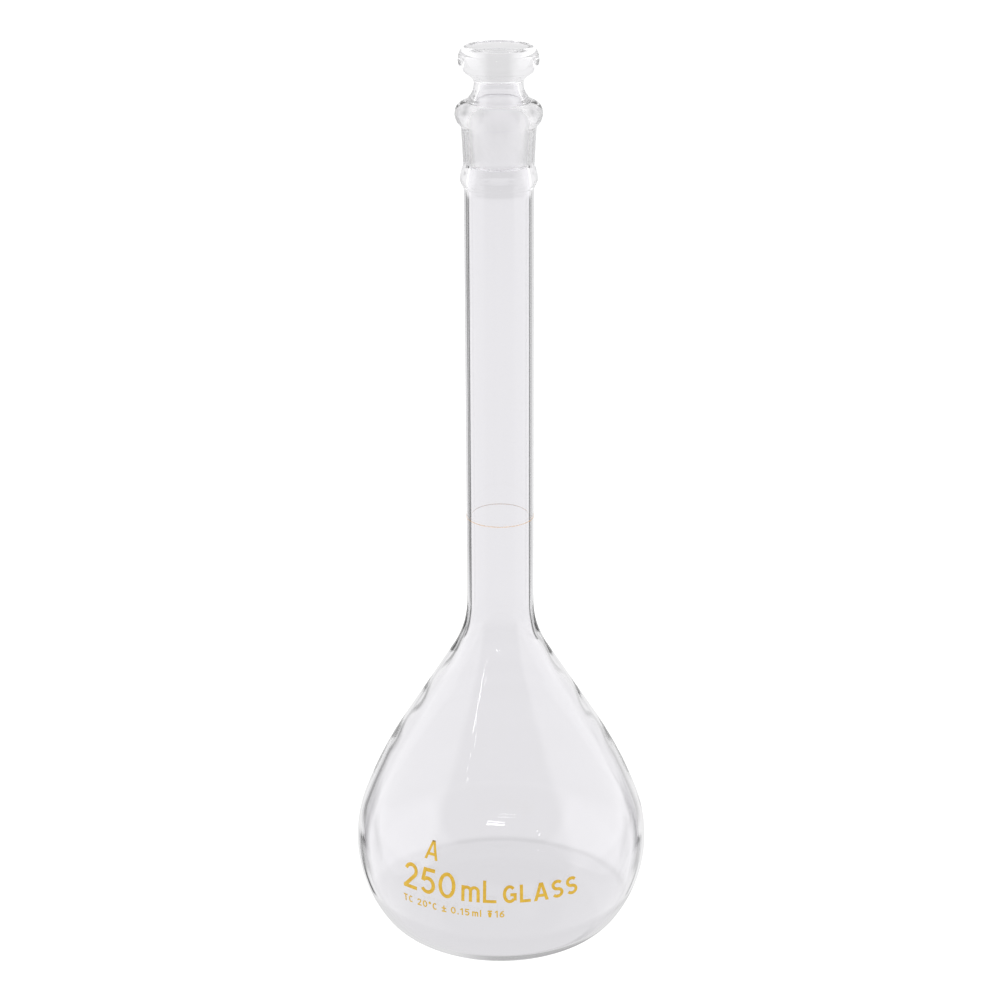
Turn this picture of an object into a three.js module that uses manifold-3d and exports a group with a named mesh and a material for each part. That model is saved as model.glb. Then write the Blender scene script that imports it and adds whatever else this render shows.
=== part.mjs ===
// A 250 mL one-mark volumetric flask with a hollow ground-glass stopper.
// Millimetres, +Z up. The origin is the centre of the base, on the surface the flask stands on.
// The print faces -Y.
import * as THREE from 'three';
import * as BufferGeometryUtils from 'three/addons/utils/BufferGeometryUtils.js';
import { TessellateModifier } from 'three/addons/modifiers/TessellateModifier.js';
import Module from 'manifold-3d';

const wasm = await Module();
wasm.setup();

// ---- driving dimensions ----

const TURN_SIDES = 40; // facets round every turned piece

// bulb, outside
const BODY_RADIUS = 40;
const BASE_RADIUS = 23.5; // flat ring the flask stands on
const HEEL_RADIUS = 13; // fillet between the base and the side
const BELLY_RADIUS = 34.2; // arc round the widest part
const BELLY_LEAN = THREE.MathUtils.degToRad(110.3); // slope where the belly arc ends
const SHOULDER_RADIUS = 121.7; // long arc above the belly
const CONE_LEAN = THREE.MathUtils.degToRad(121.75); // slope of the straight cone
const NECK_FILLET_RADIUS = 27.1; // hollow curve from the cone into the neck

// bulb, wall and base
const WALL_BASE = 1.4; // with these walls the smooth form holds 250 mL below the mark
const WALL_BELLY = 1.05;
const WALL_SHOULDER = 1.5;
const PUNT_RADIUS = 15; // push-up inside the ring base
const PUNT_DEPTH = 1.6;

// neck
const NECK_RADIUS = 8.92;
const BORE_RADIUS = 7.75;
const MARK_HEIGHT = 119.8;
const MARK_BAND = 0.36; // height of the enamel ring

// ground joint, size 16: 16 mm across at the mouth, taper 1 in 10 on the diameter
const WELD_HEIGHT = 207.8; // the neck tube ends here
const MOUTH_HEIGHT = 230.5;
const MOUTH_RADIUS = 8;
const TAPER = 1 / 20; // on the radius
const GROUND_LENGTH = 15.7;
const GROUND_CLEARANCE = 0.08;

// stopper
const STOPPER_TOP = 244.2;
const WAIST_RADIUS = 6.29;
const HEAD_RADIUS = 10.15;

// enamel
const ENAMEL_LIFT = 0.03; // from the glass to the underside of the enamel
const ENAMEL_THICKNESS = 0.08;
const ENAMEL_FACET = 1.9; // longest edge of a printed solid

// ---- materials ----

const glass = new THREE.MeshStandardMaterial({
  color: 0xe6e7ec, roughness: 0.05, metalness: 0, transparent: true, opacity: 0.35,
});
const groundGlass = new THREE.MeshStandardMaterial({
  color: 0xe4e4e6, roughness: 0.55, metalness: 0, transparent: true, opacity: 0.6,
});
const enamel = new THREE.MeshStandardMaterial({ color: 0xdea823, roughness: 0.4, metalness: 0 });

// ---- profiles: points (radius, height), with the lean of the wall at each one ----

// The lean is 0 where the wall runs outwards, a quarter turn where it runs up, and more where
// it closes in. A hollow arc bends the other way from a full one.
function arcFrom(start, toLean, radius, steps, hollow = false) {
  const bend = hollow ? -1 : 1;
  return Array.from({ length: steps }, (_, i) => {
    const lean = start.lean + ((toLean - start.lean) * (i + 1)) / steps;
    const outward = bend * radius * (Math.sin(lean) - Math.sin(start.lean));
    const upward = bend * radius * (Math.cos(start.lean) - Math.cos(lean));
    return { r: start.r + outward, z: start.z + upward, lean };
  });
}

function bulbOutside() {
  const last = (points) => points[points.length - 1];
  // the heel arc touches the belly arc from inside, which fixes the slope where they meet
  const bellyCentre = BODY_RADIUS - BELLY_RADIUS;
  const heelLean = Math.asin((BASE_RADIUS - bellyCentre) / (BELLY_RADIUS - HEEL_RADIUS));
  const points = [{ r: BASE_RADIUS, z: 0, lean: 0 }];
  points.push(...arcFrom(last(points), heelLean, HEEL_RADIUS, 4));
  points.push(...arcFrom(last(points), Math.PI / 2, BELLY_RADIUS, 3));
  points.push(...arcFrom(last(points), BELLY_LEAN, BELLY_RADIUS, 2));
  points.push(...arcFrom(last(points), CONE_LEAN, SHOULDER_RADIUS, 2));
  const coneTop = NECK_RADIUS + NECK_FILLET_RADIUS * (1 - Math.sin(CONE_LEAN));
  const cone = (last(points).r - coneTop) / -Math.cos(CONE_LEAN);
  points.push({ r: coneTop, z: last(points).z + cone * Math.sin(CONE_LEAN), lean: CONE_LEAN });
  points.push(...arcFrom(last(points), Math.PI / 2, NECK_FILLET_RADIUS, 4, true));
  return points;
}

const BULB_OUTSIDE = bulbOutside();
const NECK_START = BULB_OUTSIDE[BULB_OUTSIDE.length - 1].z;
const BELLY_HEIGHT = HEEL_RADIUS
  + Math.sqrt((BELLY_RADIUS - HEEL_RADIUS) ** 2 - (BASE_RADIUS - BODY_RADIUS + BELLY_RADIUS) ** 2);

// The wall is thick at the base, thin at the belly, thick again on the shoulder, and thins
// down to the neck tube.
function wallAt(z) {
  const { lerp, smoothstep } = THREE.MathUtils;
  const belly = lerp(WALL_BASE, WALL_BELLY, smoothstep(z, 0, BELLY_HEIGHT));
  const shoulder = lerp(belly, WALL_SHOULDER, smoothstep(z, BELLY_HEIGHT, 62));
  return lerp(shoulder, NECK_RADIUS - BORE_RADIUS, smoothstep(z, 70, NECK_START));
}

function bulbInside() {
  return BULB_OUTSIDE.map(({ r, z, lean }) => {
    const wall = wallAt(z);
    return { r: r - wall * Math.sin(lean), z: z + wall * Math.cos(lean), lean };
  });
}

// The base rises inside its standing ring as half a cosine wave.
function punt(rise, steps) {
  return Array.from({ length: steps }, (_, i) => {
    const along = i / steps;
    return { r: PUNT_RADIUS * along, z: rise + PUNT_DEPTH * 0.5 * (1 + Math.cos(Math.PI * along)) };
  });
}

// ---- shapes ----

// A turned solid. The outline runs upwards on the outside and comes back down on the inside.
function turned(points) {
  const outline = points.map(({ r, z }) => new THREE.Vector2(r, z));
  const geometry = new THREE.LatheGeometry(outline, TURN_SIDES);
  return geometry.rotateX(Math.PI / 2);
}

function ring(points) {
  return turned([...points, points[0]]);
}

function bulbGeometry() {
  const outside = [...punt(0, 4), { r: PUNT_RADIUS, z: 0 }, ...BULB_OUTSIDE];
  const inside = [...punt(WALL_BASE, 4), { r: PUNT_RADIUS, z: WALL_BASE }, ...bulbInside()];
  return turned([...outside, ...inside.reverse()]);
}

function neckGeometry() {
  return ring([
    { r: BORE_RADIUS, z: NECK_START },
    { r: NECK_RADIUS, z: NECK_START },
    { r: NECK_RADIUS, z: WELD_HEIGHT },
    { r: BORE_RADIUS, z: WELD_HEIGHT },
  ]);
}

function groundRadius(z) {
  return MOUTH_RADIUS - (MOUTH_HEIGHT - z) * TAPER;
}

// Quarter of an ellipse between two points, leaving the first one straight up or straight
// outwards, without its first point.
function quarter(from, to, steps, upFirst) {
  return Array.from({ length: steps }, (_, i) => {
    const turn = (Math.PI / 2) * ((i + 1) / steps);
    const across = upFirst ? 1 - Math.cos(turn) : Math.sin(turn);
    const up = upFirst ? Math.sin(turn) : 1 - Math.cos(turn);
    return { r: from.r + (to.r - from.r) * across, z: from.z + (to.z - from.z) * up };
  });
}

function socketGeometry() {
  const bulge = { r: 9.84, z: 211 }; // glass gathered at the weld
  const bodyFoot = { r: 9.14, z: 215.2 };
  const bodyTop = { r: 9.56, z: 224 };
  const bead = { r: 11.1, z: 227.3 };
  const lip = { r: 8.7, z: MOUTH_HEIGHT };
  const groundEnd = MOUTH_HEIGHT - GROUND_LENGTH;
  return ring([
    { r: NECK_RADIUS, z: WELD_HEIGHT },
    { r: 9.2, z: 208.9 },
    { r: 9.7, z: 210 },
    bulge,
    { r: 9.68, z: 212.3 },
    { r: 9.26, z: 213.9 },
    bodyFoot,
    bodyTop,
    { r: 10.35, z: 224.9 },
    { r: 10.85, z: 226 },
    bead,
    ...quarter(bead, lip, 4, true),
    { r: MOUTH_RADIUS, z: MOUTH_HEIGHT },
    { r: groundRadius(groundEnd), z: groundEnd },
    { r: 7.3, z: groundEnd - 1 },
    { r: 7.6, z: groundEnd - 2.4 },
    { r: 7.85, z: groundEnd - 4 },
    { r: BORE_RADIUS, z: WELD_HEIGHT },
  ]);
}

function stopperGeometry() {
  const plugEnd = MOUTH_HEIGHT - GROUND_LENGTH;
  const plug = (z) => groundRadius(z) - GROUND_CLEARANCE;
  const mouth = { r: plug(MOUTH_HEIGHT), z: MOUTH_HEIGHT };
  const waist = { r: WAIST_RADIUS, z: 234.6 };
  const edge = { r: HEAD_RADIUS, z: 240.7 };
  const top = { r: 8.1, z: STOPPER_TOP };
  const outside = [
    { r: plug(plugEnd) - 0.4, z: plugEnd - 0.8 },
    { r: plug(plugEnd), z: plugEnd },
    mouth,
    ...quarter(mouth, waist, 4, false),
    { r: 6.45, z: 235.7 },
    { r: 7.3, z: 236.8 },
    { r: 9.1, z: 238.1 },
    { r: 9.9, z: 239.3 },
    edge,
    ...quarter(edge, top, 4, true),
    { r: 6.4, z: STOPPER_TOP - 0.25 },
    { r: 0, z: STOPPER_TOP - 0.5 },
  ];
  const hollow = [
    { r: 0, z: MOUTH_HEIGHT + 7.3 },
    { r: 1.6, z: MOUTH_HEIGHT + 7.2 },
    { r: 3.2, z: MOUTH_HEIGHT + 6.8 },
    { r: 4.3, z: MOUTH_HEIGHT + 6 },
    { r: 4.8, z: MOUTH_HEIGHT + 4.3 },
    { r: 5.2, z: MOUTH_HEIGHT + 2 },
    { r: 6, z: MOUTH_HEIGHT },
    { r: 6.15, z: MOUTH_HEIGHT - 1.5 },
    { r: 5.9, z: MOUTH_HEIGHT - 6 },
    { r: 5.6, z: plugEnd + 1 },
    { r: 5.7, z: plugEnd - 0.8 },
  ];
  return turned([...hollow, ...outside]);
}

function markGeometry() {
  const inner = NECK_RADIUS + ENAMEL_LIFT;
  const outer = inner + ENAMEL_THICKNESS;
  return ring([
    { r: inner, z: MARK_HEIGHT - MARK_BAND / 2 },
    { r: outer, z: MARK_HEIGHT - MARK_BAND / 2 },
    { r: outer, z: MARK_HEIGHT + MARK_BAND / 2 },
    { r: inner, z: MARK_HEIGHT + MARK_BAND / 2 },
  ]);
}

// ---- enamel characters: flat shapes in a box one unit high ----

const rad = THREE.MathUtils.degToRad;

function points(...pairs) {
  return pairs.map(([x, y]) => new THREE.Vector2(x, y));
}

// Part of an ellipse between two angles in degrees, clockwise where the second is less.
function bow(x, y, rx, ry, from, to, turnSteps) {
  const steps = Math.max(3, Math.ceil((Math.abs(to - from) / 360) * turnSteps));
  return Array.from({ length: steps + 1 }, (_, i) => {
    const angle = rad(from + ((to - from) * i) / steps);
    return new THREE.Vector2(x + rx * Math.cos(angle), y + ry * Math.sin(angle));
  });
}

// The left-hand offset of a line of points, mitred at its corners.
function offset(line, distance) {
  const normals = line.slice(1).map((point, i) => {
    const along = point.clone().sub(line[i]).normalize();
    return new THREE.Vector2(-along.y, along.x);
  });
  return line.map((point, i) => {
    const before = normals[Math.max(i - 1, 0)];
    const after = normals[Math.min(i, normals.length - 1)];
    const mitre = before.clone().add(after).divideScalar(1 + before.dot(after));
    return point.clone().addScaledVector(mitre, distance);
  });
}

function stroke(line, width) {
  return new THREE.Shape([...offset(line, width / 2), ...offset(line, -width / 2).reverse()]);
}

function oval(x, y, rx, ry, width, turnSteps) {
  const rim = (grow) => bow(x, y, rx + grow, ry + grow, 0, 360, turnSteps).slice(0, -1);
  const shape = new THREE.Shape(rim(width / 2));
  shape.holes.push(new THREE.Path(rim(-width / 2).reverse()));
  return shape;
}

// Each character gives its width and its shapes, from the stroke width w. Strokes that run
// past the box are cut off square at its top and bottom.
const OVER = 0.2;
const CHARACTERS = {
  A: (w) => {
    const width = 0.8;
    const legs = [-1, 1].map((side) => {
      const foot = (width - w * 1.08) / 2;
      const slope = foot - w * 0.12;
      return points(
        [width / 2 + side * (foot + OVER * slope), -OVER],
        [width / 2 + side * (w * 0.12 - OVER * slope), 1 + OVER],
      );
    });
    const bar = points([width * 0.26, 0.29], [width * 0.74, 0.29]);
    return { width, shapes: [...legs, bar].map((line) => stroke(line, w)) };
  },
  C: (w, turn) => {
    const width = 0.68;
    const curve = bow(width / 2, 0.5, (width - w) / 2, (1 - w) / 2, 48, 312, turn);
    return { width, shapes: [stroke(curve, w)] };
  },
  G: (w, turn) => {
    const width = 0.72;
    const curve = bow(width / 2, 0.5, (width - w) / 2, (1 - w) / 2, 45, 318, turn);
    const bar = points([width * 0.54, 0.47], [width - w / 2, 0.47], [width - w / 2, 0.14]);
    return { width, shapes: [stroke(curve, w), stroke(bar, w)] };
  },
  L: (w) => {
    const width = 0.57;
    return { width, shapes: [stroke(points([w / 2, 1 + OVER], [w / 2, w / 2], [width, w / 2]), w)] };
  },
  S: (w, turn) => {
    const width = 0.66;
    const [rx, ry] = [(width - w) / 2, (1 - w) / 4];
    const upper = bow(width / 2, 0.5 + ry, rx, ry, 35, 270, turn);
    const lower = bow(width / 2, 0.5 - ry, rx, ry, 90, -145, turn);
    return { width, shapes: [stroke([...upper, ...lower.slice(1)], w)] };
  },
  T: (w) => {
    const width = 0.62;
    const bar = points([0, 1 - w / 2], [width, 1 - w / 2]);
    const stem = points([width / 2, -OVER], [width / 2, 1 - w / 2]);
    return { width, shapes: [stroke(bar, w), stroke(stem, w)] };
  },
  l: (w) => ({ width: w, shapes: [stroke(points([w / 2, -OVER], [w / 2, 1 + OVER]), w)] }),
  m: (w, turn) => {
    const [width, tall] = [0.79, 0.72];
    const reach = (width - w) / 4;
    const arches = [0, 1].map((i) => {
      const middle = w / 2 + reach * (1 + 2 * i);
      const curve = bow(middle, tall - w / 2 - reach, reach, reach, 180, 0, turn);
      return [...curve, new THREE.Vector2(middle + reach, -OVER)];
    });
    const stem = points([w / 2, -OVER], [w / 2, tall]);
    return { width, shapes: [stem, ...arches].map((line) => stroke(line, w)) };
  },
  0: (w, turn) => {
    const width = 0.67;
    return { width, shapes: [oval(width / 2, 0.5, (width - w) / 2, (1 - w) / 2, w, turn)] };
  },
  1: (w) => {
    const width = 0.36;
    const stem = points([width - w / 2, -OVER], [width - w / 2, 1 + OVER]);
    const flag = points([width - w / 2, 0.93], [0.02, 0.74]);
    return { width, shapes: [stroke(stem, w), stroke(flag, w)] };
  },
  2: (w, turn) => {
    const width = 0.61;
    const reach = (width - w) / 2;
    const curve = bow(width / 2, 1 - w / 2 - reach, reach, reach, 168, -38, turn);
    const foot = points([0, w / 2], [width, w / 2]);
    return {
      width,
      shapes: [stroke([...curve, new THREE.Vector2(w / 2, w / 2)], w), stroke(foot, w)],
    };
  },
  5: (w, turn) => {
    const width = 0.63;
    const bar = points([width * 0.94, 1 - w / 2], [0.17, 1 - w / 2], [0.11, 0.49]);
    const bowl = bow(width / 2, 0.34, (width - w) / 2, 0.34 - w / 2, 142, -150, turn);
    return { width, shapes: [stroke(bar, w), stroke(bowl, w)] };
  },
  6: (w, turn) => {
    const width = 0.63;
    const bowl = oval(width / 2, 0.32, (width - w) / 2, 0.32 - w / 2, w, turn);
    const back = bow(width, 0.34, width - w / 2, 0.66 - w / 2, 180, 100, turn);
    return { width, shapes: [bowl, stroke(back, w)] };
  },
  '.': (w) => ({ width: w, shapes: [stroke(points([w / 2, -OVER], [w / 2, w * 1.1]), w)] }),
  '\u00b0': (w, turn) => {
    const width = 0.36;
    const reach = (width - w) / 2;
    return { width, shapes: [oval(width / 2, 1 - width / 2, reach, reach, w, turn)] };
  },
  '\u00b1': (w) => {
    const width = 0.62;
    const lines = [
      points([0, 0.56], [width, 0.56]),
      points([width / 2, w / 2], [width / 2, 0.94]),
      points([0, w / 2], [width, w / 2]),
    ];
    return { width, shapes: lines.map((line) => stroke(line, w)) };
  },
  // a stopper: a knob over a tapered plug
  v: () => {
    const outline = points([0.16, 0], [0.46, 0], [0.56, 0.64], [0.38, 0.72], [0.38, 0.8],
      [0.6, 0.8], [0.6, 1], [0.02, 1], [0.02, 0.8], [0.24, 0.8], [0.24, 0.72], [0.06, 0.64]);
    return { width: 0.62, shapes: [new THREE.Shape(outline)] };
  },
};

// ---- solids from shapes ----

function toManifold(geometry) {
  const bare = geometry.clone();
  bare.deleteAttribute('normal');
  bare.deleteAttribute('uv');
  const merged = BufferGeometryUtils.mergeVertices(bare);
  return new wasm.Manifold(new wasm.Mesh({
    numProp: 3,
    vertProperties: new Float32Array(merged.attributes.position.array),
    triVerts: new Uint32Array(merged.index.array),
  }));
}

function toGeometry(solid) {
  const { vertProperties, triVerts } = solid.getMesh();
  const geometry = new THREE.BufferGeometry();
  geometry.setAttribute('position', new THREE.BufferAttribute(vertProperties, 3));
  geometry.setIndex(new THREE.BufferAttribute(triVerts, 1));
  return geometry;
}

// Joins a character's shapes into one flat solid, cut off at the top and bottom of its box.
function characterSolid({ width, shapes }) {
  const joined = shapes
    .map((shape) => new THREE.ExtrudeGeometry(shape, { depth: 1, bevelEnabled: false }))
    .map(toManifold)
    .reduce((whole, piece) => whole.add(piece));
  const box = new THREE.BoxGeometry(width + 2, 1, 3).translate(width / 2, 0.5, 0);
  return toGeometry(joined.intersect(toManifold(box)));
}

// Lays a flat solid on the belly. Its x runs round the belly from the front and its y up the
// wall from the widest part, both in millimetres of arc, and its z stands off the glass.
function bendOntoBelly(geometry) {
  const position = geometry.attributes.position;
  for (let i = 0; i < position.count; i += 1) {
    const lean = Math.PI / 2 + position.getY(i) / BELLY_RADIUS;
    const reach = BELLY_RADIUS + position.getZ(i);
    const r = BODY_RADIUS - BELLY_RADIUS + reach * Math.sin(lean);
    const around = position.getX(i) / BODY_RADIUS;
    const height = BELLY_HEIGHT - reach * Math.cos(lean);
    position.setXYZ(i, r * Math.sin(around), -r * Math.cos(around), height);
  }
  return geometry;
}

function printedGeometry(character, { height, weight }, start, baseline) {
  const turnSteps = height > 3 ? 24 : 12;
  const shape = CHARACTERS[character](weight / height, turnSteps);
  const flat = characterSolid(shape);
  flat.scale(height, height, ENAMEL_THICKNESS).translate(start, baseline, ENAMEL_LIFT);
  const fine = new TessellateModifier(ENAMEL_FACET, 6).modify(flat);
  const geometry = bendOntoBelly(BufferGeometryUtils.mergeVertices(fine));
  return { geometry, end: start + shape.width * height };
}

// ---- the print: words laid round the belly, in millimetres of arc from the front ----

const LARGE = { height: 7.3, weight: 1.02, gap: 1 };
const UNIT = { height: 6.3, weight: 0.86, gap: 0.85 };
const WORD = { height: 5.1, weight: 0.86, gap: 0.85 };
const CLASS = { height: 5.2, weight: 0.76, gap: 0 };
const SMALL = { height: 2.1, weight: 0.34, gap: 0.45 };
const MAIN_LINE = 0.8;
const CLASS_LINE = 10.5;
const SMALL_LINE = -3.6;

const PRINT = [
  { name: 'class', text: 'A', style: CLASS, start: -22.3, baseline: CLASS_LINE },
  { name: 'capacity', text: '250', style: LARGE, start: -28.3, baseline: MAIN_LINE },
  { name: 'unit', text: 'mL', style: UNIT, start: -10.7, baseline: MAIN_LINE },
  { name: 'word', text: 'GLASS', style: WORD, start: 0.4, baseline: MAIN_LINE },
  { name: 'method', text: 'TC', style: SMALL, start: -28.4, baseline: SMALL_LINE },
  { name: 'temperature', text: '20\u00b0C', style: SMALL, start: -23.8, baseline: SMALL_LINE },
  { name: 'tolerance', text: '\u00b1', style: SMALL, start: -16.3, baseline: SMALL_LINE },
  { name: 'amount', text: '0.15', style: SMALL, start: -13.7, baseline: SMALL_LINE },
  { name: 'millilitres', text: 'ml', style: SMALL, start: -7.8, baseline: SMALL_LINE },
  { name: 'stopper_sign', text: 'v', style: SMALL, start: -3.7, baseline: SMALL_LINE },
  { name: 'stopper_size', text: '16', style: SMALL, start: -1.7, baseline: SMALL_LINE },
];

function printedMeshes() {
  return PRINT.flatMap(({ name, text, style, start, baseline }) => {
    let cursor = start;
    return [...text].map((character, i) => {
      const { geometry, end } = printedGeometry(character, style, cursor, baseline);
      cursor = end + style.gap;
      return part(`print_${name}_${i + 1}`, geometry, enamel);
    });
  });
}

// ---- the object ----

function part(name, geometry, material) {
  const mesh = new THREE.Mesh(geometry, material);
  mesh.name = name;
  return mesh;
}

function flask() {
  const group = new THREE.Group();
  group.add(
    part('bulb', bulbGeometry(), glass),
    part('neck_tube', neckGeometry(), glass),
    part('joint_socket', socketGeometry(), groundGlass),
    part('graduation_mark', markGeometry(), enamel),
    ...printedMeshes(),
  );
  return group;
}

function stopper() {
  const group = new THREE.Group();
  group.add(part('stopper', stopperGeometry(), glass));
  return group;
}

const volumetricFlask = new THREE.Group();
volumetricFlask.add(flask(), stopper());

export default volumetricFlask;
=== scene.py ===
"""A 250 mL volumetric flask of clear borosilicate glass with a hollow ground stopper.

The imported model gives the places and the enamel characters. The glass is rebuilt here as two
finely turned bodies, and the enamel ring as a third, with their own materials.
"""
import math

import bpy
import numpy as np
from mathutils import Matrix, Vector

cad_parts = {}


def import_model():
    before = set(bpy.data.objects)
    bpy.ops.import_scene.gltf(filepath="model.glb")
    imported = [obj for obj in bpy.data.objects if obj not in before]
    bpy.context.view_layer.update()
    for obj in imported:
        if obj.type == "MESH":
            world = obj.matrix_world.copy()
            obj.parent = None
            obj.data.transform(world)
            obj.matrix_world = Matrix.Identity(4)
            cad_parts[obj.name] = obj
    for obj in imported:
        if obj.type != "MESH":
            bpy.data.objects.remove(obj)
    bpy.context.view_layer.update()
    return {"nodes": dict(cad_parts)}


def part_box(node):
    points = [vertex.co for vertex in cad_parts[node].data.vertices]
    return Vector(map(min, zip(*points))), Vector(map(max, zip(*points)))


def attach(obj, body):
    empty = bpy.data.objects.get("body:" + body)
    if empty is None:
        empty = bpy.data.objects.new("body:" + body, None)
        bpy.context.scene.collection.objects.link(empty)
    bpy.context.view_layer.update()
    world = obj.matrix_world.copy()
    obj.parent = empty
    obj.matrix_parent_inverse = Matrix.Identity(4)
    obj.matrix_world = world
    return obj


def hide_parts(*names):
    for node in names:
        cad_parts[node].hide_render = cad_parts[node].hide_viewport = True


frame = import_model()

MM = 0.001
UP = math.pi / 2  # the lean of an upright wall


# ---- sizes, in millimetres, from the frame where it has them ----

def high(node, axis=2):
    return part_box(node)[1][axis] / MM


def low(node, axis=2):
    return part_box(node)[0][axis] / MM


BODY_RADIUS = high("bulb", 0)
NECK_START = high("bulb")
NECK_RADIUS = high("neck_tube", 0)
WELD = high("neck_tube")
MOUTH = high("joint_socket")
STOPPER_TOP = high("stopper")
HEAD_RADIUS = high("stopper", 0)
MARK_LOW, MARK_HIGH = low("graduation_mark"), high("graduation_mark")
MARK_BAND = 0.22  # height of the mark as it is seen, finer than its CAD ring

BASE_RADIUS = 23.5
HEEL_RADIUS = 13
BELLY_RADIUS = 34.2
BELLY_LEAN = math.radians(110.3)
SHOULDER_RADIUS = 121.7
CONE_LEAN = math.radians(121.75)
FILLET_RADIUS = 27.1
BORE_RADIUS = 7.75
MOUTH_RADIUS = 8
TAPER = 1 / 20
GROUND_LENGTH = 15.7
GROUND_CLEARANCE = 0.08
PUNT_RADIUS = 15
PUNT_DEPTH = 1.6
WALL_BASE = 1.5
WALL_BELLY = 1.8
WALL_SHOULDER = 1.7
BELLY_RISE = 24  # heights where the wall reaches and leaves its belly thickness
BELLY_TOP = 30
SHOULDER_TOP = 62
NECKING = 78  # above here the wall thins down to the neck
STEP = 0.7  # longest step along an outline
CURVE_STEPS = 6  # between two points of a curve
BASE_STEPS = 28


# ---- outlines: rows of radius, height and lean ----
# The lean is 0 where a wall runs outwards, a quarter turn where it runs up, and more where it
# closes in.

def arc(start, lean, radius, hollow=False):
    """The points after start on an arc that bends from its lean to another."""
    steps = max(4, math.ceil(abs(lean - start[2]) * radius / STEP))
    bend = -radius if hollow else radius
    leans = np.linspace(start[2], lean, steps + 1)[1:]
    r = start[0] + bend * (np.sin(leans) - math.sin(start[2]))
    z = start[1] + bend * (math.cos(start[2]) - np.cos(leans))
    return np.stack([r, z, leans], axis=1)


def straight(start, end):
    """The points after start on a straight line, with its own lean."""
    start, end = np.array(start[:2], float), np.array(end[:2], float)
    along = end - start
    steps = max(1, math.ceil(np.hypot(*along) / STEP))
    lean = math.atan2(along[1], along[0])
    t = np.linspace(0, 1, steps + 1)[1:, None]
    points = start + t * along
    return np.hstack([points, np.full((steps, 1), lean)])


def curve(points):
    """A smooth line through a few points, as a Catmull-Rom spline. It includes both ends."""
    p = np.array(points, float)
    p = np.vstack([2 * p[0] - p[1], p, 2 * p[-1] - p[-2]])
    t = np.linspace(0, 1, CURVE_STEPS + 1)[:-1, None]
    rows = []
    for a, b, c, d in zip(p, p[1:], p[2:], p[3:]):
        rows.append(0.5 * (2 * b + (c - a) * t + (2 * a - 5 * b + 4 * c - d) * t**2
                           + (3 * b - 3 * c + d - a) * t**3))
    return np.vstack(rows + [p[-2:-1]])


def smoothstep(x, a, b):
    t = np.clip((x - a) / (b - a), 0, 1)
    return t * t * (3 - 2 * t)


def bulb_outside():
    centre = BODY_RADIUS - BELLY_RADIUS
    heel_lean = math.asin((BASE_RADIUS - centre) / (BELLY_RADIUS - HEEL_RADIUS))
    rows = [np.array([[BASE_RADIUS, 0, 0]])]
    rows.append(arc(rows[-1][-1], heel_lean, HEEL_RADIUS))
    rows.append(arc(rows[-1][-1], BELLY_LEAN, BELLY_RADIUS))
    rows.append(arc(rows[-1][-1], CONE_LEAN, SHOULDER_RADIUS))
    cone_top = NECK_RADIUS + FILLET_RADIUS * (1 - math.sin(CONE_LEAN))
    foot = rows[-1][-1]
    cone_end = (cone_top, foot[1] + (foot[0] - cone_top) * -math.tan(CONE_LEAN))
    rows.append(straight(foot, cone_end))
    rows.append(arc(rows[-1][-1], UP, FILLET_RADIUS, hollow=True))
    return np.vstack(rows)


def bulb_inside(outside):
    """The outside moved in by the wall, which thickens from the base to the belly and thins
    again up the shoulder to the neck. It is thicker at the belly than the CAD wall."""
    r, z, lean = outside.T
    wall = WALL_BASE + (WALL_BELLY - WALL_BASE) * smoothstep(z, 0, BELLY_RISE)
    wall += (WALL_SHOULDER - wall) * smoothstep(z, BELLY_TOP, SHOULDER_TOP)
    wall += (NECK_RADIUS - BORE_RADIUS - wall) * smoothstep(z, NECKING, NECK_START)
    return np.stack([r - wall * np.sin(lean), z + wall * np.cos(lean)], axis=1)


def punt(rise):
    """The base from the axis to its standing ring, with its push-up."""
    r = np.linspace(0, BASE_RADIUS, BASE_STEPS)[:-1]
    dip = np.where(r < PUNT_RADIUS, 0.5 + 0.5 * np.cos(np.pi * r / PUNT_RADIUS), 0)
    return np.stack([r, rise + PUNT_DEPTH * dip], axis=1)


def ground(z):
    """The radius of the socket's ground taper at a height."""
    return MOUTH_RADIUS - (MOUTH - z) * TAPER


def plug(z):
    """The radius of the stopper's ground taper at a height."""
    return ground(z) - GROUND_CLEARANCE


def socket_outside():
    """From the neck tube over the weld and the beaded rim to the edge of the mouth."""
    body = curve([
        (NECK_RADIUS, WELD), (NECK_RADIUS + 0.15, WELD + 0.9), (9.65, WELD + 2), (9.86, WELD + 3.1),
        (9.72, WELD + 4.4), (9.3, WELD + 6.1), (9.14, WELD + 7.5), (9.18, WELD + 9.5),
        (9.36, WELD + 13), (9.54, WELD + 15.8),
    ])
    bead = curve([
        (9.58, MOUTH - 6.3), (9.95, MOUTH - 5.9), (10.62, MOUTH - 5.1), (11, MOUTH - 4),
        (11.1, MOUTH - 3.1), (10.95, MOUTH - 2.1), (10.5, MOUTH - 1.2), (9.75, MOUTH - 0.45),
        (9, MOUTH - 0.08), (8.5, MOUTH), (8.15, MOUTH - 0.08), (MOUTH_RADIUS, MOUTH - 0.3),
    ])
    return body, bead


def socket_inside():
    """The ground taper, then the clear glass under it, down to the bore."""
    end = MOUTH - GROUND_LENGTH
    z = np.linspace(MOUTH - 0.3, end, 24)
    taper = np.stack([ground(z), z], axis=1)
    below = curve([
        (ground(end), end), (7.3, end - 1), (7.6, end - 2.4), (7.85, end - 4), (7.83, end - 5.3),
        (BORE_RADIUS, end - 7), (BORE_RADIUS, end - 8.5),
    ])
    return taper, below[1:]


# ---- turned meshes ----

SIDES = 160


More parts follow.
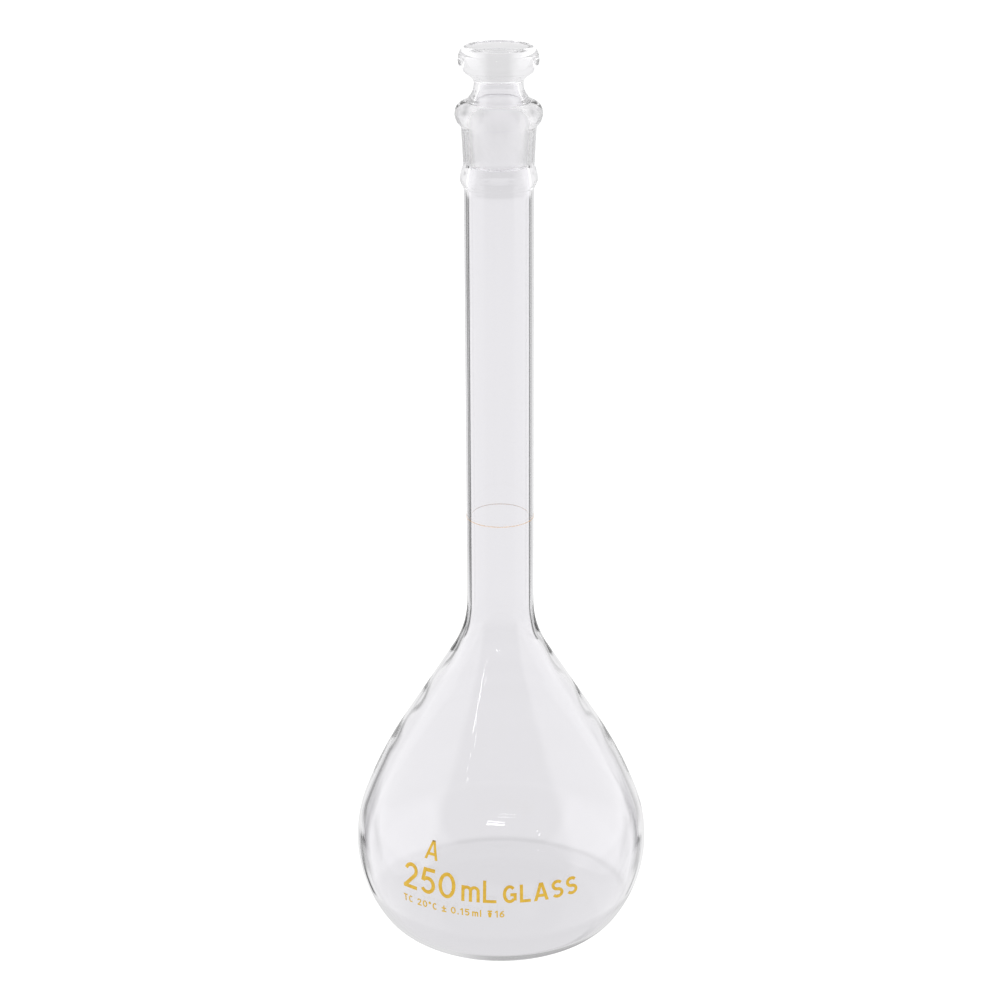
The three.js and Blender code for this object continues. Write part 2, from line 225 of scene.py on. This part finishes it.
def turned(name, outline, closed=False, ripple=None, marks=()):
    """A mesh turned from an outline that runs up the outside and down the inside.

    ripple takes the angle and the outline's index and gives a change in radius and height.
    marks is a list of (first, last, slot) spans of the outline that take another material.
    """
    outline = np.array(outline, float)
    count = len(outline)
    angle = np.arange(SIDES) * 2 * math.pi / SIDES
    r = np.repeat(outline[:, :1], SIDES, axis=1)
    z = np.repeat(outline[:, 1:2], SIDES, axis=1)
    if ripple is not None:
        dr, dz = ripple(angle[None, :], outline)
        r, z = r + dr, z + dz
    points = np.stack([r * np.sin(angle), -r * np.cos(angle), z], axis=2)
    on_axis = outline[:, 0] < 1e-9
    index = np.zeros((count, SIDES), int)
    verts = []
    for i in range(count):
        if on_axis[i]:
            index[i] = len(verts)
            verts.append(points[i, 0])
        else:
            index[i] = np.arange(SIDES) + len(verts)
            verts.extend(points[i])
    faces, slots = [], []
    spans = count if closed else count - 1
    for i in range(spans):
        j = (i + 1) % count
        slot = next((s for first, last, s in marks if first <= i < last), 0)
        for k in range(SIDES):
            m = (k + 1) % SIDES
            corners = [index[i, k], index[i, m], index[j, m], index[j, k]]
            face = list(dict.fromkeys(corners))
            if len(face) > 2:
                faces.append(face)
                slots.append(slot)
    mesh = bpy.data.meshes.new(name)
    mesh.from_pydata([tuple(v * MM) for v in np.array(verts)], [], faces)
    mesh.polygons.foreach_set("material_index", slots)
    mesh.polygons.foreach_set("use_smooth", [True] * len(faces))
    mesh.update()
    piece = bpy.data.objects.new(name, mesh)
    bpy.context.scene.collection.objects.link(piece)
    return piece


# ---- materials ----

def new_material(name):
    material = bpy.data.materials.new(name)
    material.use_nodes = True
    nodes, links = material.node_tree.nodes, material.node_tree.links
    return material, nodes, links, nodes["Principled BSDF"]


def noise(nodes, links, scale, detail=2.0, stretch=(1, 1, 1)):
    """Noise over the piece's own coordinates, in metres, that can be stretched along an axis."""
    coordinates = nodes.new("ShaderNodeTexCoord")
    mapping = nodes.new("ShaderNodeMapping")
    mapping.inputs["Scale"].default_value = stretch
    texture = nodes.new("ShaderNodeTexNoise")
    texture.inputs["Scale"].default_value = scale
    texture.inputs["Detail"].default_value = detail
    links.new(coordinates.outputs["Object"], mapping.inputs["Vector"])
    links.new(mapping.outputs["Vector"], texture.inputs["Vector"])
    return texture.outputs["Fac"]


def bump(nodes, links, shader, height, strength, distance):
    node = nodes.new("ShaderNodeBump")
    node.inputs["Strength"].default_value = strength
    node.inputs["Distance"].default_value = distance
    links.new(height, node.inputs["Height"])
    links.new(node.outputs["Normal"], shader.inputs["Normal"])


def clear_glass():
    """Fire-polished borosilicate, with the faint unevenness of drawn and blown walls."""
    material, nodes, links, shader = new_material("clear_glass")
    shader.inputs["Base Color"].default_value = (0.985, 0.979, 0.996, 1)
    shader.inputs["Transmission Weight"].default_value = 1
    shader.inputs["Roughness"].default_value = 0
    shader.inputs["IOR"].default_value = 1.473
    drawn = noise(nodes, links, 55, 1.5, (1, 1, 0.18))
    bump(nodes, links, shader, drawn, 0.25, 0.00012)
    return material


def ground_glass():
    """The frosted face of the ground joint. Its faint glow stands in for the scattered light
    that is lost between four rough faces. Real ground glass doesn't glow."""
    material, nodes, links, shader = new_material("ground_glass")
    shader.inputs["Base Color"].default_value = (1, 1, 1, 1)
    shader.inputs["Emission Color"].default_value = (1, 1, 1, 1)
    shader.inputs["Emission Strength"].default_value = 0.03
    shader.inputs["Transmission Weight"].default_value = 1
    shader.inputs["IOR"].default_value = 1.473
    grain = noise(nodes, links, 5200, 2)
    spread = nodes.new("ShaderNodeMapRange")
    spread.inputs["To Min"].default_value = 0.25
    spread.inputs["To Max"].default_value = 0.38
    links.new(grain, spread.inputs["Value"])
    links.new(spread.outputs["Result"], shader.inputs["Roughness"])
    rings = noise(nodes, links, 900, 3, (0.25, 0.25, 4))
    bump(nodes, links, shader, rings, 0.25, 0.00004)
    return material


def amber_enamel():
    """Fired enamel: slightly uneven in colour and thickness, with a soft gloss."""
    material, nodes, links, shader = new_material("amber_enamel")
    patches = noise(nodes, links, 900, 3)
    ramp = nodes.new("ShaderNodeValToRGB")
    ramp.color_ramp.elements[0].position = 0.35
    ramp.color_ramp.elements[0].color = (0.57, 0.335, 0.012, 1)
    ramp.color_ramp.elements[1].position = 0.68
    ramp.color_ramp.elements[1].color = (0.66, 0.42, 0.03, 1)
    links.new(patches, ramp.inputs["Fac"])
    links.new(ramp.outputs["Color"], shader.inputs["Base Color"])
    gloss = nodes.new("ShaderNodeMapRange")
    gloss.inputs["To Min"].default_value = 0.32
    gloss.inputs["To Max"].default_value = 0.5
    links.new(patches, gloss.inputs["Value"])
    links.new(gloss.outputs["Result"], shader.inputs["Roughness"])
    grain = noise(nodes, links, 4200, 2)
    bump(nodes, links, shader, grain, 0.3, 0.00003)
    return material


def thin_enamel():
    """The hair-fine enamel of the graduation mark, thin enough to let light through."""
    material, nodes, links, shader = new_material("thin_enamel")
    shader.inputs["Base Color"].default_value = (0.8, 0.42, 0.1, 1)
    shader.inputs["Roughness"].default_value = 0.45
    streaks = noise(nodes, links, 700, 2, (1, 1, 0.3))
    cover = nodes.new("ShaderNodeMapRange")
    cover.inputs["To Min"].default_value = 0.2
    cover.inputs["To Max"].default_value = 0.36
    links.new(streaks, cover.inputs["Value"])
    links.new(cover.outputs["Result"], shader.inputs["Alpha"])
    return material


CLEAR, GROUND, AMBER, THIN_AMBER = clear_glass(), ground_glass(), amber_enamel(), thin_enamel()


# ---- glass ----

def shoulder_ripple(angle, outline, first):
    """The uneven inner wall where the bulb was blown into the neck: soft rings that wander
    round the cone. first is where the inside starts on the outline."""
    height = outline[:, 1:2]
    window = smoothstep(height, 48, 62) * (1 - smoothstep(height, 82, 92))
    inside = (np.arange(len(outline)) >= first)[:, None]
    lean = 0.9 * np.sin(angle + 1.1) + 0.5 * np.sin(2 * angle + 0.4)
    rings = np.sin(2 * math.pi * height / 13 + lean)
    depth = window * inside * 0.08 * rings
    return depth * math.sin(CONE_LEAN), depth * -math.cos(CONE_LEAN)


def vessel():
    outside = bulb_outside()
    body, bead = socket_outside()
    taper, below = socket_inside()
    neck_out = straight((NECK_RADIUS, NECK_START), (NECK_RADIUS, WELD))[:, :2]
    neck_in = straight((BORE_RADIUS, below[-1][1]), (BORE_RADIUS, NECK_START))[:, :2]
    outer = [punt(0), outside[:, :2], neck_out, body[1:], bead]
    up = np.vstack(outer)
    base_in = punt(WALL_BASE)[::-1]
    down = np.vstack([taper[1:], below, neck_in[:-1], bulb_inside(outside)[::-1], base_in])
    outline = np.vstack([up, down])
    first = len(up)
    ground_span = (first - 1, first + len(taper) - 2, 1)
    piece = turned("vessel", outline, ripple=lambda a, o: shoulder_ripple(a, o, first),
                   marks=[ground_span])
    piece.data.materials.append(CLEAR)
    piece.data.materials.append(GROUND)
    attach(piece, "flask")
    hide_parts("bulb", "neck_tube", "joint_socket")


def stopper():
    plug_end = MOUTH - GROUND_LENGTH
    hollow = curve([
        (0, MOUTH + 7.3), (1.6, MOUTH + 7.2), (3.2, MOUTH + 6.8), (4.3, MOUTH + 6),
        (4.7, MOUTH + 5), (4.8, MOUTH + 4), (4.95, MOUTH + 3), (5.2, MOUTH + 2), (5.6, MOUTH + 1),
        (6, MOUTH), (6.15, MOUTH - 1.5), (6.1, MOUTH - 3.5), (5.9, MOUTH - 6), (5.75, MOUTH - 11.5),
        (5.6, plug_end + 1), (5.65, plug_end), (5.9, plug_end - 0.45),
    ])
    foot = curve([
        (5.9, plug_end - 0.45), (6.25, plug_end - 0.75), (6.7, plug_end - 0.7),
        (plug(plug_end) - 0.12, plug_end - 0.35), (plug(plug_end), plug_end),
    ])
    z = np.linspace(plug_end, MOUTH - 0.1, 26)[1:]
    taper = np.stack([plug(z), z], axis=1)
    crown = curve([
        (plug(MOUTH - 0.1), MOUTH - 0.1), (7.85, MOUTH + 0.5), (7.45, MOUTH + 1.1),
        (6.83, MOUTH + 2), (6.42, MOUTH + 3), (6.29, MOUTH + 4), (6.36, MOUTH + 5),
        (6.72, MOUTH + 5.75), (7.45, MOUTH + 6.4), (8.45, MOUTH + 7.1), (9.4, MOUTH + 7.9),
        (9.95, MOUTH + 8.9), (HEAD_RADIUS, MOUTH + 10), (10.08, MOUTH + 11.2),
        (9.75, MOUTH + 12.3), (9.1, MOUTH + 13.2), (8.4, MOUTH + 13.6), (7.8, MOUTH + 13.7),
    ])
    dish = curve([
        (7.8, STOPPER_TOP), (7.3, STOPPER_TOP - 0.02), (6.7, STOPPER_TOP - 0.2),
        (5.6, STOPPER_TOP - 0.42), (3, STOPPER_TOP - 0.5), (0, STOPPER_TOP - 0.5),
    ])
    outline = np.vstack([hollow, foot[1:], taper, crown[1:], dish[1:]])
    outline[0, 0] = outline[-1, 0] = 0
    start = len(hollow) + len(foot) - 2
    piece = turned("ground_stopper", outline, marks=[(start, start + len(taper), 1)])
    piece.data.materials.append(CLEAR)
    piece.data.materials.append(GROUND)
    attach(piece, "stopper")
    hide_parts("stopper")


# ---- enamel ----

def mark_ring():
    """The graduation mark, a thin band of enamel with rounded edges."""
    inner = NECK_RADIUS + 0.02
    outer = NECK_RADIUS + 0.09
    middle = (MARK_LOW + MARK_HIGH) / 2
    half = MARK_BAND / 2
    lip = half * 0.75
    outline = [
        (inner, middle - half), (inner + 0.04, middle - half), (outer, middle - lip),
        (outer, middle + lip), (inner + 0.04, middle + half), (inner, middle + half),
    ]
    piece = turned("mark_ring", outline, closed=True)
    piece.data.materials.append(THIN_AMBER)
    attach(piece, "flask")
    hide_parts("graduation_mark")


def print_characters():
    """The printed characters stay as packed and take the enamel."""
    for name, node in frame["nodes"].items():
        if name.startswith("print_"):
            node.data.materials.clear()
            node.data.materials.append(AMBER)


vessel()
stopper()
mark_ring()
print_characters()


# ---- studio ----

LENS = 87.52
DOWN = math.radians(20.87)  # how far the camera looks down
DISTANCE = 0.64355
AIM = 0.12403  # the height that it looks at
ROLL = math.radians(-0.19)


def camera():
    data = bpy.data.cameras.new("camera")
    data.lens = LENS
    data.sensor_width = 36
    data.clip_start, data.clip_end = 0.01, 50
    rig = bpy.data.objects.new("camera", data)
    bpy.context.scene.collection.objects.link(rig)
    rig.location = (0, -DISTANCE * math.cos(DOWN), AIM + DISTANCE * math.sin(DOWN))
    rig.rotation_euler = (UP - DOWN, 0, 0)
    rig.rotation_euler.rotate_axis("Z", ROLL)
    bpy.context.scene.camera = rig
    return rig


def light_table(name):
    """A pale sheet that is lit from below, so that nothing on it casts a shadow."""
    material, _, _, shader = new_material(name)
    shader.inputs["Base Color"].default_value = (0.2, 0.2, 0.2, 1)
    shader.inputs["Roughness"].default_value = 0.9
    shader.inputs["Specular IOR Level"].default_value = 0
    shader.inputs["Emission Color"].default_value = (1, 1, 1, 1)
    shader.inputs["Emission Strength"].default_value = 1
    return material


def glow(name, level):
    """A light surface of one brightness, and the socket that holds it."""
    material = bpy.data.materials.new(name)
    material.use_nodes = True
    nodes, links = material.node_tree.nodes, material.node_tree.links
    nodes.clear()
    emission = nodes.new("ShaderNodeEmission")
    emission.inputs["Color"].default_value = (1, 1, 1, 1)
    emission.inputs["Strength"].default_value = level
    output = nodes.new("ShaderNodeOutputMaterial")
    links.new(emission.outputs[0], output.inputs["Surface"])
    return material, emission.inputs["Strength"]


def floor():
    size, level = 12, -0.0002
    corners = [(x * size, y * size, level) for x, y in ((-1, -1), (1, -1), (1, 1), (-1, 1))]
    mesh = bpy.data.meshes.new("floor")
    mesh.from_pydata(corners, [], [(0, 1, 2, 3)])
    mesh.materials.append(light_table("pale_floor"))
    sheet = bpy.data.objects.new("floor", mesh)
    bpy.context.scene.collection.objects.link(sheet)
    sheet.visible_glossy = sheet.visible_transmission = False


# How bright the studio is all round the object: a pale sweep straight behind it, dark cards at
# its sides, softboxes beyond them, and the dimmer room behind the camera. It is set for the
# camera's own view. Angles are in degrees, with turn measured round from straight behind, rise up
# from level and fall down from level. A pair gives where a change starts and ends.
WRAP_RADIUS = 3
WRAP_TURN_STEP = 1.5
WRAP_RISE_STEP = 1
SWEEP = 0.83
SWEEP_LOW = 0.82  # behind the bulb
SWEEP_HIGH = 0.73  # behind the stopper
SWEEP_EDGE = 0.88
CARDS = 0.08
BESIDE_CARDS = 0.6
SOFTBOXES = 1.0
SOFTBOXES_HIGH = 1.3
ROOM = 0.6
OVERHEAD = 0.95
TABLE_IN_FRONT = 0.9
# Where the cards start, by rise. They stand back from the straight neck, come in close to the
# curved bulb below it, and end under the ground joint.
CARD_RISES = [-90, -24.6, -23.6, -21, -16]
CARD_EDGES = {"left": [25, 25, 39, 39, 41], "right": [30, 30, 40, 40, 41]}
CARDS_TOP = -9.6
# Thinner cards nearer the sweep, which draw the lines down the shoulder.
SHOULDER_CARDS = {"left": 0.3, "right": 0.6}
SHOULDER_RISES = [-14.5, -12.5]
SHOULDER_EDGES = [28.5, 25]

HIGH_RISE = (CARDS_TOP, CARDS_TOP + 1.5)
SWEEP_EDGE_TURN = (8, 18)
BULB_FALL = (22, 26)
BESIDE_TURN = (30, 33)
BESIDE_FALL = (24, 26)
LOW_FALL = (37, 42)
LOW_SIDE_TURN = (32, 36)
LOW_SIDE_FALL = (30, 33)
SOFTBOX_TURN = (49, 53)
FRONT_RISE = (-14, -6)
FRONT_TURN = (118, 130)
OVERHEAD_RISE = (50, 65)


def window(x, start, end, soft):
    """One between start and end, fading to nothing over soft outside them."""
    return smoothstep(x, start - soft, start) * (1 - smoothstep(x, end, end + soft))


def brightness(turn, rise):
    """The studio's brightness in a direction. Each surface is laid over the ones before it."""
    side, fall, hand = abs(turn), -rise, "right" if turn > 0 else "left"
    high = smoothstep(rise, *HIGH_RISE)
    # the sweep, paler towards its edges
    level = SWEEP + (SWEEP_LOW - SWEEP) * smoothstep(fall, *BULB_FALL) + (SWEEP_HIGH - SWEEP) * high
    level += (SWEEP_EDGE - level) * smoothstep(side, *SWEEP_EDGE_TURN)
    # the dark cards, which are only half dark beside the bulb and end above its foot
    edge = np.interp(rise, CARD_RISES, CARD_EDGES[hand])
    level += (CARDS - level) * smoothstep(side, edge - 1.5, edge + 2) * (1 - high)
    level += (BESIDE_CARDS - level) * smoothstep(side, *BESIDE_TURN) * smoothstep(fall, *BESIDE_FALL)
    level += (SWEEP_EDGE - level) * smoothstep(fall, *LOW_FALL)
    level += (SWEEP_EDGE - level) * smoothstep(side, *LOW_SIDE_TURN) * smoothstep(fall, *LOW_SIDE_FALL)
    # the softboxes, brighter above the cards
    boxes = SOFTBOXES + (SOFTBOXES_HIGH - SOFTBOXES) * high
    level += (boxes - level) * smoothstep(side, *SOFTBOX_TURN)
    # the thinner cards, only where the dark ones leave room
    shoulder_edge = np.interp(rise, SHOULDER_RISES, SHOULDER_EDGES)
    shoulder = window(side, shoulder_edge, 38, 2) * window(rise, -20, -7, 2) * (1 - 0.5 * high)
    level += (SHOULDER_CARDS[hand] - level) * shoulder * (1 - smoothstep(side, edge, edge + 1))
    # the table in front and the room above it, then whatever is overhead
    front = TABLE_IN_FRONT + (ROOM - TABLE_IN_FRONT) * smoothstep(rise, *FRONT_RISE)
    level += (front - level) * smoothstep(side, *FRONT_TURN)
    return level + (OVERHEAD - level) * smoothstep(rise, *OVERHEAD_RISE)


def studio_wrap(rig):
    """The studio round the object, painted on a sphere that is seen only in the glass. It
    turns with the camera, as a set stays put when the object is turned in front of it."""
    turns = np.arange(-180, 181, WRAP_TURN_STEP)
    rises = np.arange(-90, 91, WRAP_RISE_STEP)
    verts, levels, faces = [], [], []
    for i, turn in enumerate(turns):
        for j, rise in enumerate(rises):
            t, e = math.radians(turn), math.radians(rise)
            across = WRAP_RADIUS * math.cos(e)
            verts.append((across * math.sin(t), across * math.cos(t), WRAP_RADIUS * math.sin(e)))
            levels.append(brightness(turn, rise))
            if i and j:
                here = i * len(rises) + j
                faces.append((here, here - 1, here - len(rises) - 1, here - len(rises)))
    mesh = bpy.data.meshes.new("studio_wrap")
    mesh.from_pydata(verts, [], faces)
    mesh.attributes.new("brightness", "FLOAT", "POINT").data.foreach_set("value", levels)
    mesh.materials.append(painted_glow("studio_wrap"))
    hang(mesh, rig)


def lamp(rig, name, turn, rise, width, height, level):
    """A small lamp, as its turn and rise and its size in degrees. It is seen only in the glass."""
    far = WRAP_RADIUS * 0.9  # inside the wrap
    verts = []
    for du, dv in ((-1, -1), (1, -1), (1, 1), (-1, 1)):
        t, e = math.radians(turn + du * width / 2), math.radians(rise + dv * height / 2)
        across = far * math.cos(e)
        verts.append((across * math.sin(t), across * math.cos(t), far * math.sin(e)))
    mesh = bpy.data.meshes.new(name)
    mesh.from_pydata(verts, [], [(0, 1, 2, 3)])
    mesh.materials.append(glow(name, level)[0])
    hang(mesh, rig)


# The table close round the foot, as seen through the glass, with painted shadow on it. It is darker
# under the bulb, as painted shade of the bulb's shadow, with a faint painted shadow arc at the
# bulb's rim behind and to the right, and with a narrow painted dark arc in front that stands in for
# the dark edge of the thick base. Both stay where they are in other views.
# TABLE is the painted shade under the bulb, and the two depths are how much darker the painted arcs
# are.
TABLE = 0.75
TABLE_REACH = 44
ARC_RADIUS = 40.5
ARC_SHADOW_DEPTH = 0.07
FOOT_RADIUS = 28
FOOT_SHADE_DEPTH = 0.33


def table_level(r, turn):
    """The table's painted brightness, with its painted shade, at a distance from the middle in
    millimetres. turn is 0 straight behind and a quarter turn on the right."""
    # painted shade under the bulb that fades out past its rim, less a painted shadow arc at the rim
    # and a painted dark arc in front
    level = TABLE + (SWEEP_LOW - TABLE) * smoothstep(r, ARC_RADIUS, TABLE_REACH)
    arc = window(r, ARC_RADIUS, ARC_RADIUS, 2.2) * smoothstep(math.sin(turn), -0.7, -0.1)
    foot = window(r, FOOT_RADIUS, FOOT_RADIUS + 3, 1) * window(math.degrees(turn), 135, 180, 30)
    return level - ARC_SHADOW_DEPTH * arc - FOOT_SHADE_DEPTH * foot


def table_shade():
    radii = np.arange(0, TABLE_REACH + 0.1, 1)
    turns = np.radians(np.arange(0, 360, 5))
    verts, levels, faces = [], [], []
    for i, r in enumerate(radii):
        for j, t in enumerate(turns):
            verts.append((r * MM * math.sin(t), r * MM * math.cos(t), -0.0001))
            levels.append(table_level(r, t))
            if i:
                before = (j - 1) % len(turns) + i * len(turns)
                here = j + i * len(turns)
                faces.append((here, before, before - len(turns), here - len(turns)))
    mesh = bpy.data.meshes.new("table_shade")
    mesh.from_pydata(verts, [], faces)
    mesh.attributes.new("brightness", "FLOAT", "POINT").data.foreach_set("value", levels)
    mesh.materials.append(painted_glow("table_shade"))
    stage_light(mesh)


def painted_glow(name):
    """A glow whose strength is painted on the mesh."""
    material, strength = glow(name, 1)
    attribute = material.node_tree.nodes.new("ShaderNodeAttribute")
    attribute.attribute_name = "brightness"
    material.node_tree.links.new(attribute.outputs["Fac"], strength)
    return material


def stage_light(mesh):
    """Puts a light surface on the set that is seen only in the glass."""
    piece = bpy.data.objects.new(mesh.name, mesh)
    bpy.context.scene.collection.objects.link(piece)
    piece.visible_camera = piece.visible_diffuse = piece.visible_shadow = False
    return piece


def hang(mesh, rig):
    """Puts a light surface round the object, turning with the camera."""
    piece = stage_light(mesh)
    bpy.context.view_layer.update()
    piece.parent = rig
    piece.matrix_parent_inverse = rig.matrix_world.inverted()


def world():
    scene = bpy.context.scene
    scene.world = bpy.data.worlds.new("studio")
    scene.world.use_nodes = True
    background = scene.world.node_tree.nodes["Background"]
    background.inputs["Color"].default_value = (1, 1, 1, 1)
    background.inputs["Strength"].default_value = 1.15
    scene.view_settings.view_transform = "Standard"
    scene.cycles.max_bounces = 32
    scene.cycles.transmission_bounces = 32
    scene.cycles.glossy_bounces = 24
    scene.cycles.diffuse_bounces = 12


RIG = camera()
floor()
studio_wrap(RIG)
table_shade()
lamp(RIG, "lamp_left", -139.5, 36.1, 1.0, 2.7, 16)
lamp(RIG, "lamp_left_low", -143, 30.6, 0.7, 1.8, 10)
lamp(RIG, "lamp_front", -175, 21.8, 16, 0.45, 16)
world()
